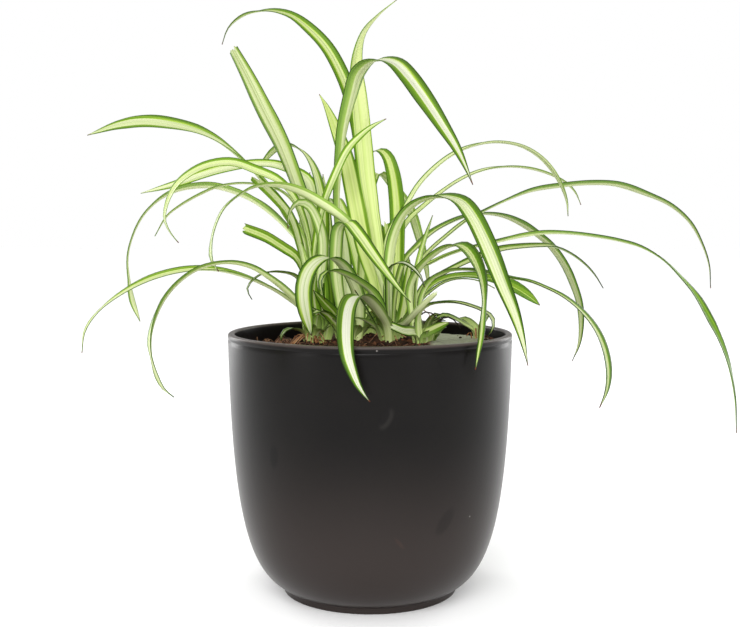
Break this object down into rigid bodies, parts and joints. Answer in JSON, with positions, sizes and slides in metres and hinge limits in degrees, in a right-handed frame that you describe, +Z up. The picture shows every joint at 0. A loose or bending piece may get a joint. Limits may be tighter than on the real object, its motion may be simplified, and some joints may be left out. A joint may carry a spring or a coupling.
{
  "type": "potted spider plant",
  "caption": "Round dark cover pot with a bowl-shaped foot, filled with compost, holding a spider plant of arching striped leaves.",
  "frame": {"origin": "middle of the pot's flat foot, on the surface it stands on", "axes": "+Z up along the pot's axis, -Y towards the front as pictured, +X to the viewer's right"},
  "size_m": [0.372, 0.2261, 0.3169],
  "materials": {
    "pot": "satin, dark anthracite",
    "compost": "matte, crumbly",
    "leaf": "satin, green with a pale stripe",
    "deep_leaf": "satin, green with a pale stripe",
    "young_leaf": "satin, deep green"
  },
  "bodies": {
    "root": {"pot": "pot", "compost": "compost", "shoot_left": "leaf", "shoot_middle": "leaf", "shoot_right": "deep_leaf", "shoot_front": "deep_leaf", "shoot_back": "leaf", "plantlet": "young_leaf"}
  },
  "joints": []
}
